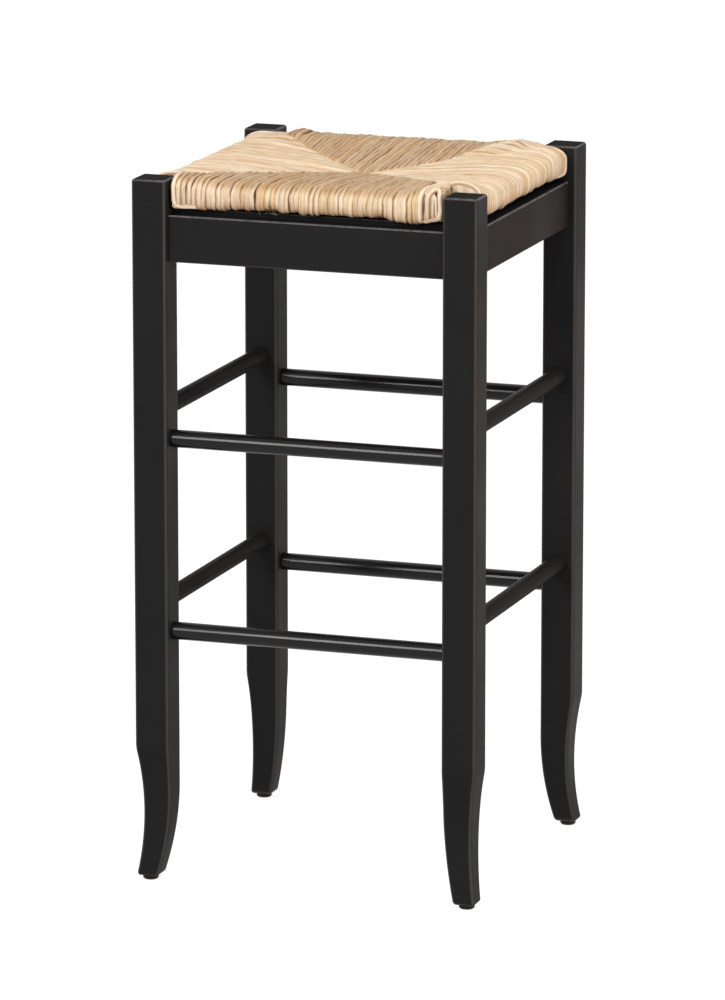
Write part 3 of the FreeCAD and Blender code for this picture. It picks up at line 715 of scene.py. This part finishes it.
    def lay_hook(self, end):
        """A cord down the roll's end and in along its lower edge."""
        hook = list(HOOK_DOWN)
        for inward, past, proud in HOOK_ALONG:
            place = end * (ROLL_END - inward * MM)
            lower_edge = (self.crown(place) - SEAT_BOTTOM - self.lower_lift(place)) / MM + HOOK_RUN
            hook.append((inward, lower_edge + past, proud))
        self.lay_round(end, hook, HOOK_HALF_WIDTH, PALE_RUSH)

    def lay_loops(self, end):
        """Cords on the roll's end: an arch over it, two bands under the arch, and a loop within a loop."""
        low = (self.crown(end * ROLL_END) - SEAT_BOTTOM) / MM + LOOP_RUN
        arch = [(25, low + 6, -3), (25, low - 1, 0.3), (25, 22, 0.7), (24.4, 10, 0.8), (21, 1, 0.9),
                (14, -4, 0.9), (7, -7, 0.9), (2.6, -11, 0.7), (1.4, -15, -1), (1, -17, -4)]
        outer = [(16.8, low + 2, -2.5), (16.8, low - 5, 0.1), (16.8, 31, 0.5), (16.2, 22, 0.7),
                 (13.5, 16, 0.8), (9, 13.5, 0.8), (5.5, 16, 0.8), (3.6, 22, 0.8), (3, 30, 0.8),
                 (2.4, low - 9, 0.7), (4.2, low - 1.5, 0.7), (10, low, 0.7), (16, low + 0.5, 0.9),
                 (20, low + 1, 0.3), (23, low + 3, -2)]
        inner = [(10.8, low + 1, -2.5), (10.8, low - 6, -0.4), (10.6, 28, 0.1), (9, 21, 0.3),
                 (7.4, 28, 0.1), (7.4, low - 6, -0.2), (7.4, low + 1, -2.5)]
        self.lay_round(end, arch, ARCH_HALF_WIDTH, PALE_RUSH)
        for reach in BAND_REACHES:
            band = [(21, reach + 9, -2), (19, reach + 5, 0), (14, reach + 1.5, 0.6), (8, reach, 0.7),
                    (3, reach - 1, 0.5), (1, reach - 1.5, -1), (0.5, reach - 2, -4)]
            self.lay_round(end, band, BAND_HALF_WIDTH, rush_tint() * BAND_SHADE)
        self.lay_round(end, outer, OUTER_HALF_WIDTH, PALE_RUSH)
        self.lay_round(end, inner, INNER_HALF_WIDTH, rush_tint())

    def end_wall(self, end):
        """Short upright strands on the wall of the notch, under the roll's last cord."""
        nose = self.nose(end * ROLL_END)
        for out in np.arange(ROLL_END + WALL_INNER, nose - WALL_OUTER, WALL_PITCH):
            top = self.top(end * ROLL_END, out) - WALL_TOP
            bottom = under_surface(out, nose) + self.lower_lift(end * ROLL_END) + WALL_BOTTOM
            path = softened(np.concatenate([WALL_UPPER + (0, top), WALL_LOWER + (0, bottom)]))
            centre = self.in_space(end * (ROLL_END - path[:, 0]), np.full(len(path), out), path[:, 1])
            self.woven.add(centre, self.out, WALL_HALF_WIDTH, WALL_HALF_DEPTH, rush_tint())

    def finish_end(self, end, looped):
        """The roll's end beside a leg: sunk strands, and cords laid round them as a hook or as loops."""
        if looped:
            self.lay_loops(end)
            sunk, half_width, recess = LOOPED_SUNK, LOOPED_HALF_WIDTH, LOOPED_RECESS
        else:
            self.lay_hook(end)
            sunk, half_width, recess = HOOKED_SUNK, HOOKED_HALF_WIDTH, HOOKED_RECESS
        for inward in sunk:
            self.lay(end * (ROLL_END - inward * MM), half_width, recess=recess, shade=SUNK_SHADE)
        self.end_wall(end)

    def fray(self, place, fibres):
        """Loose fibres that hang out from under the roll."""
        for _ in range(fibres):
            sway, fall = chance.uniform(*FRAY_SWAY) * MM, chance.uniform(*FRAY_FALL) * MM
            start = place + chance.uniform(*FRAY_SPREAD) * MM
            path = np.array([(start + share * sway, SEAT_NOSE + out * MM, SEAT_BOTTOM + up * MM)
                             for share, out, up in FRAY_POINTS])
            path[-1, 2] -= fall
            centre = self.in_space(*softened(path).T)
            self.woven.add(centre, self.side, FRAY_HALF_WIDTH, FRAY_HALF_HEIGHT, FRAY_COLOUR)


rush_over = rush_leaf("dried_rush_over", groove_range=(0.5, 0.85), groove_share=0.5)
rush_under = rush_leaf("dried_rush_under", groove_range=(0.6, 1.0), groove_share=0.45)
fans = [
    Fan("front", side=(1, 0, 0), out=(0, -1, 0), over=True, mitre_lifts=(5, 10),
        roll_line=[(-150, 5.5), (-95, 0), (95, 0), (150, 9.5)],
        edge_line=[(-150, 0), (-120, 1), (-88, 3), (-43, 4.5), (0, 3.6), (40, 3.4), (66, 4.4), (86, 4.4),
                   (100, 1), (126, 0), (138, 3.5)]),
    Fan("right", side=(0, 1, 0), out=(1, 0, 0), over=False, mitre_lifts=(10, 2),
        roll_line=[(-150, 11), (-95, 0), (80, 0), (120, 4), (150, 1)],
        lean_line=[(60, 0), (118, 26), (150, 8)],
        edge_line=[(-150, 0), (-130, 3), (-60, 2), (0, 3), (80, 3.5), (150, 0)]),
    Fan("back", side=(-1, 0, 0), out=(0, 1, 0), over=True, mitre_lifts=(0.5, -1),
        roll_line=[(-150, -1), (-132, 2), (-110, 2.5), (-80, 0), (110, 0), (127, 4.2), (142, -2.5),
                   (150, -4)]),
    Fan("left", side=(0, -1, 0), out=(-1, 0, 0), over=False, mitre_lifts=(-0.5, 5), swell=(7, 0),
        roll_line=[(-150, -0.5), (-95, 0), (95, 0), (150, 4)],
        lean_line=[(-150, -10), (-125, -8), (-80, 0)]),
]
for fan in fans:
    fan.weave()
    fan.finish_end(-1, looped=False)
    fan.finish_end(1, looped=fan.name == "front")
    if fan.name == "front":
        fan.fray(FRAY_PLACE, FRAY_FIBRES)
    piece = fan.woven.build("rush_strands_" + fan.name, rush_over if fan.over else rush_under)
    if fan.name == "front":
        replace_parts(piece, "rush_seat")


# The stuffing between the layers of rush

PAD_CELLS = 24
PAD_INSET = 2 * MM
PAD_RUMPLE = 0.5 * MM


def stuffing_pad(material):
    """A rumpled pad: a top and an underside of square cells, joined round the rim."""
    low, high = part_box("seat_stuffing")
    shares = np.linspace(0, 1, PAD_CELLS + 1)
    across, deep = low.x + (high.x - low.x) * shares, low.y + (high.y - low.y) * shares
    xs, ys = np.meshgrid(across, deep, indexing="ij")
    reach = np.maximum(abs(xs), abs(ys)) / high.x
    rumple = chance.normal(0, PAD_RUMPLE, xs.shape)
    top = high.z - DISH_DEPTH * (1 - reach) - PAD_INSET + rumple
    bottom = low.z + BELLY_RISE * (1 - reach) + PAD_INSET + rumple[::-1]
    points = np.concatenate([np.stack([xs, ys, level], -1).reshape(-1, 3) for level in (top, bottom)])
    row = PAD_CELLS + 1
    under = row * row
    faces = []
    for i in range(PAD_CELLS):
        for j in range(PAD_CELLS):
            a, b, c, d = i * row + j, (i + 1) * row + j, (i + 1) * row + j + 1, i * row + j + 1
            faces.append((a, b, c, d))
            faces.append((under + d, under + c, under + b, under + a))
    rim = [i * row for i in range(row)] + [PAD_CELLS * row + j for j in range(1, row)]
    rim += [i * row + PAD_CELLS for i in range(PAD_CELLS - 1, -1, -1)] + list(range(PAD_CELLS - 1, 0, -1))
    for here, after in zip(rim, rim[1:] + rim[:1]):
        faces.append((after, here, under + here, under + after))
    piece = show("stuffing_pad", new_mesh("stuffing_pad", points, faces, material))
    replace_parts(piece, "seat_stuffing")


stuffing_pad(straw_core())


# The ledgers, let in close between the corner blocks so that no light shows at their ends

LEDGER_EASE = 0.8 * MM
LEDGER_END_GAP = 0.1 * MM
LEDGER_STATIONS = 9


def ledger_strip(side, along, material):
    """A strip with eased edges inside one apron. It runs along X or Y, axis 0 or 1."""
    low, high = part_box("seat_ledger_" + side)
    _, block_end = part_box("corner_block_front_left")
    reach = -block_end[along] - LEDGER_END_GAP
    across = 1 - along
    inner, outer, ease = low[across], high[across], LEDGER_EASE
    ring = [(inner + ease, low.z), (outer - ease, low.z), (outer, low.z + ease), (outer, high.z - ease),
            (outer - ease, high.z), (inner + ease, high.z), (inner, high.z - ease), (inner, low.z + ease)]
    points = np.zeros((LEDGER_STATIONS, len(ring), 3))
    points[..., along] = np.linspace(-reach, reach, LEDGER_STATIONS)[:, None]
    points[..., across] = [u for u, _ in ring]
    points[..., 2] = [up for _, up in ring]
    faces = ring_faces(LEDGER_STATIONS, len(ring), mirrored=along == 1)
    mesh = new_mesh("ledger_strip_" + side, points, faces, material, rounded=False)
    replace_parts(show("ledger_strip_" + side, mesh), "seat_ledger_" + side)


ledger_paint = painted_wood("black_paint_ledgers", GRAIN_LEDGERS)
for ledger_side, ledger_axis in (("front", 0), ("right", 1), ("back", 0), ("left", 1)):
    ledger_strip(ledger_side, ledger_axis, ledger_paint)


# The legs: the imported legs' outlines, with smooth curves and rounder ends

LEG_EDGE = 4 * MM
LEG_TOP_ROUND = 3 * MM
TOE_ROUND = 3.8 * MM
HOLLOW_HEIGHT = 75 * MM
HOLLOW_DEPTH = 6.5 * MM
HOLLOW_RADIUS = 390 * MM
KNEE_RADIUS = 60 * MM
HEEL_HEIGHT = 105 * MM
HEEL_RADIUS = 390 * MM
KNEE_SUM = KNEE_RADIUS + HOLLOW_RADIUS
KNEE_RISE = math.sqrt(2 * KNEE_SUM * HOLLOW_DEPTH - HOLLOW_DEPTH ** 2)
KNEE_BOTTOM = HOLLOW_HEIGHT + KNEE_RISE * HOLLOW_RADIUS / KNEE_SUM
KNEE_TOP = HOLLOW_HEIGHT + KNEE_RISE
FOOT_STEP = 4 * MM
POST_STEP = 60 * MM
ROUND_POINTS = 6


def circle_sag(radius, distance):
    """How far a circle has fallen from its top at a distance to the side."""
    return radius - np.sqrt(radius ** 2 - np.clip(distance, 0, radius) ** 2)


def hollow_inset(height):
    """How far in the outer faces lie: hollow above the toe, and round at the knee."""
    hollow = HOLLOW_DEPTH - circle_sag(HOLLOW_RADIUS, abs(HOLLOW_HEIGHT - height))
    return np.where(height < KNEE_BOTTOM, hollow, circle_sag(KNEE_RADIUS, KNEE_TOP - height))


def heel_inset(height):
    """How far out towards the toe the inner faces have curved."""
    return circle_sag(HEEL_RADIUS, HEEL_HEIGHT - height)


def leg_stations(bottom, top):
    """Heights from the toe to the top, and how far the rounded ends are drawn in there."""
    turn = np.linspace(0, QUARTER_TURN, ROUND_POINTS)
    foot = spaced(bottom + TOE_ROUND, KNEE_TOP + FOOT_STEP, FOOT_STEP)[1:]
    post = spaced(foot[-1], top - LEG_TOP_ROUND, POST_STEP)[1:-1]
    heights = np.concatenate([bottom + TOE_ROUND * (1 - np.cos(turn)), foot, post,
                              top - LEG_TOP_ROUND * (1 - np.sin(turn))])
    drawn_in = np.concatenate([TOE_ROUND * (1 - np.sin(turn)), np.zeros(len(foot) + len(post)),
                               LEG_TOP_ROUND * (1 - np.cos(turn))])
    return heights, drawn_in


def sabre_leg(corner, material):
    """A square leg with rounded edges, worked out from its outer corner inwards."""
    low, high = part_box("leg_" + corner)
    inward = np.array([1.0 if "left" in corner else -1.0, 1.0 if "front" in corner else -1.0, 1.0])
    start = np.array([low.x if inward[0] > 0 else high.x, low.y if inward[1] > 0 else high.y, 0])
    heights, drawn_in = leg_stations(low.z, high.z)
    near = hollow_inset(heights) + drawn_in
    far = high.x - low.x - heel_inset(heights) - drawn_in
    rounding = (LEG_EDGE - drawn_in)[:, None]
    quarter = np.linspace(0, QUARTER_TURN, ROUND_POINTS)
    turns = np.concatenate([quarter + QUARTER_TURN * edge for edge in range(4)])
    facing = np.stack([np.cos(turns), np.sin(turns)], -1)
    by_far = np.repeat([(1, 1), (0, 1), (0, 0), (1, 0)], ROUND_POINTS, axis=0)
    points = np.zeros((len(heights), len(turns), 3))
    for axis in (0, 1):
        centre = np.where(by_far[:, axis] == 1, far[:, None] - rounding, near[:, None] + rounding)
        points[..., axis] = centre + rounding * facing[:, axis]
    points[..., 2] = heights[:, None]
    round_way = np.stack([-facing[:, 1], facing[:, 0], np.zeros(len(turns))], -1)
    normals = np.cross(np.broadcast_to(round_way, points.shape), np.gradient(points, axis=0))
    normals[0], normals[-1] = (0, 0, -1), (0, 0, 1)
    normals /= np.linalg.norm(normals, axis=-1, keepdims=True)
    faces = ring_faces(len(heights), len(turns), mirrored=inward[0] * inward[1] < 0)
    mesh = new_mesh("sabre_leg_" + corner, start + points * inward, faces, material)
    mesh.normals_split_custom_set_from_vertices((normals * inward).reshape(-1, 3).tolist())
    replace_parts(show("sabre_leg_" + corner, mesh), "leg_" + corner)


leg_paint = painted_wood("black_paint_legs", GRAIN_UP, side_painted_light="22201d", gloss=0.045)
for leg_corner in ("front_left", "front_right", "back_right", "back_left"):
    sabre_leg(leg_corner, leg_paint)


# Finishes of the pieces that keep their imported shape

def finish_nodes(prefixes, material):
    for name, node in nodes.items():
        if name.startswith(prefixes):
            node.data.materials.clear()
            node.data.materials.append(material)


across_paint = painted_wood("black_paint_across", GRAIN_ACROSS)
# The aprons along Y get a warmer side tone, as painted light on their outer faces
deep_paint = painted_wood("black_paint_deep", GRAIN_DEEP, side_painted_light="241e19", gloss=0.027)
block_paint = painted_wood("black_paint_blocks", GRAIN_BLOCKS)
across_rod = painted_rod("black_rods_across", GRAIN_ACROSS, "111112", "191818", gloss=0.18, rough=0.19)
# The stretchers along Y are painted lighter than those across, as painted light on them
deep_rod = painted_rod("black_rods_deep", GRAIN_DEEP, "1d1d1d", "2a2826", gloss=0.006, rough=0.36)
finish_nodes(("apron_front", "apron_back"), across_paint)
finish_nodes(("apron_left", "apron_right"), deep_paint)
finish_nodes(("stretcher_front", "stretcher_back"), across_rod)
finish_nodes(("stretcher_left", "stretcher_right"), deep_rod)
finish_nodes("corner_block_", block_paint)
finish_nodes("seat_rail_", bare_wood())
finish_nodes("foot_glide_", glide_plastic())
# The metal comes last, because the block screws' name starts like the blocks' names
finish_nodes(("corner_block_screws", "seat_screws", "glide_nails"), zinc_steel())


# Floor, light and camera

def white_to_camera(tree, share):
    """The share of white that only the camera, reflections and glass see."""
    rays = tree.nodes.new("ShaderNodeLightPath").outputs
    first = tree.nodes.new("ShaderNodeMath")
    first.operation = "MAXIMUM"
    tree.links.new(rays["Is Camera Ray"], first.inputs[0])
    tree.links.new(rays["Is Glossy Ray"], first.inputs[1])
    second = tree.nodes.new("ShaderNodeMath")
    second.operation = "MAXIMUM"
    tree.links.new(first.outputs[0], second.inputs[0])
    tree.links.new(rays["Is Transmission Ray"], second.inputs[1])
    strength = tree.nodes.new("ShaderNodeMath")
    strength.operation = "MULTIPLY"
    tree.links.new(second.outputs[0], strength.inputs[0])
    strength.inputs[1].default_value = share
    return strength.outputs[0]


FLOOR_GREY = 0.42
FLOOR_GLOW = 0.8
FLOOR_HALF = 30.0
AMBIENT = 0.5


def make_floor():
    mesh = bpy.data.meshes.new("floor")
    corners = [(-FLOOR_HALF, -FLOOR_HALF, 0), (FLOOR_HALF, -FLOOR_HALF, 0),
               (FLOOR_HALF, FLOOR_HALF, 0), (-FLOOR_HALF, FLOOR_HALF, 0)]
    mesh.from_pydata(corners, [], [(0, 1, 2, 3)])
    floor = bpy.data.objects.new("floor", mesh)
    bpy.context.scene.collection.objects.link(floor)
    shader = Shader("pale_floor")
    shader.set(Base_Color=[FLOOR_GREY, FLOOR_GREY, FLOOR_GREY, 1], Roughness=0.9, Specular_IOR_Level=0.0)
    shader.feed(shader.surface.inputs["Emission Color"], [1, 1, 1, 1])
    shader.feed(shader.surface.inputs["Emission Strength"], white_to_camera(shader.tree, FLOOR_GLOW))
    mesh.materials.append(shader.material)


def make_world(ambient):
    world = bpy.data.worlds.new("studio")
    world.use_nodes = True
    bpy.context.scene.world = world
    tree = world.node_tree
    background = tree.nodes["Background"]
    background.inputs["Color"].default_value = (1, 1, 1, 1)
    strength = tree.nodes.new("ShaderNodeMath")
    strength.operation = "MAXIMUM"
    tree.links.new(white_to_camera(tree, 1.0), strength.inputs[0])
    strength.inputs[1].default_value = ambient
    tree.links.new(strength.outputs[0], background.inputs["Strength"])


def softbox(name, place, aim, size, power, colour=(1, 1, 1)):
    lamp = bpy.data.lights.new(name, "AREA")
    lamp.shape = "RECTANGLE"
    lamp.size, lamp.size_y = size
    lamp.energy = power
    lamp.color = colour
    holder = bpy.data.objects.new(name, lamp)
    holder.location = place
    holder.rotation_euler = (Vector(aim) - Vector(place)).to_track_quat("-Z", "Y").to_euler()
    bpy.context.scene.collection.objects.link(holder)


# The camera as fitted to the photo: how far it is turned to the right and tilted down, and where it stands
CAMERA_TURN = math.radians(19.103)
CAMERA_TILT = math.radians(12.59)
CAMERA_AWAY = 7.111136
CAMERA_HEIGHT = 1.979137
FOCAL_IN_FRAME_HEIGHTS = 6.767411
SENSOR = 36.0


def make_camera():
    lens = bpy.data.cameras.new("camera")
    lens.sensor_width = SENSOR
    lens.lens = FOCAL_IN_FRAME_HEIGHTS * SENSOR
    camera = bpy.data.objects.new("camera", lens)
    camera.location = (math.sin(CAMERA_TURN) * CAMERA_AWAY, -math.cos(CAMERA_TURN) * CAMERA_AWAY,
                       CAMERA_HEIGHT)
    camera.rotation_euler = (QUARTER_TURN - CAMERA_TILT, 0, CAMERA_TURN)
    bpy.context.scene.collection.objects.link(camera)
    bpy.context.scene.camera = camera


make_floor()
make_world(AMBIENT)
softbox("key", place=(0.6, -3.3, 1.9), aim=(0, 0, 0.5), size=(2.2, 2.2), power=22)
softbox("fill", place=(2.4, -0.8, 0.6), aim=(0, 0, 0.45), size=(0.5, 1.1), power=25,
        colour=(1, 0.93, 0.87))
softbox("overhead", place=(0.6, -0.6, 2.6), aim=(0, 0, 0.5), size=(0.45, 0.45), power=12)
softbox("strip", place=(-1.2, -3.2, 2.3), aim=(0, 0, 0.4), size=(0.6, 1.5), power=68)
make_camera()
bpy.context.scene.view_settings.view_transform = "Standard"
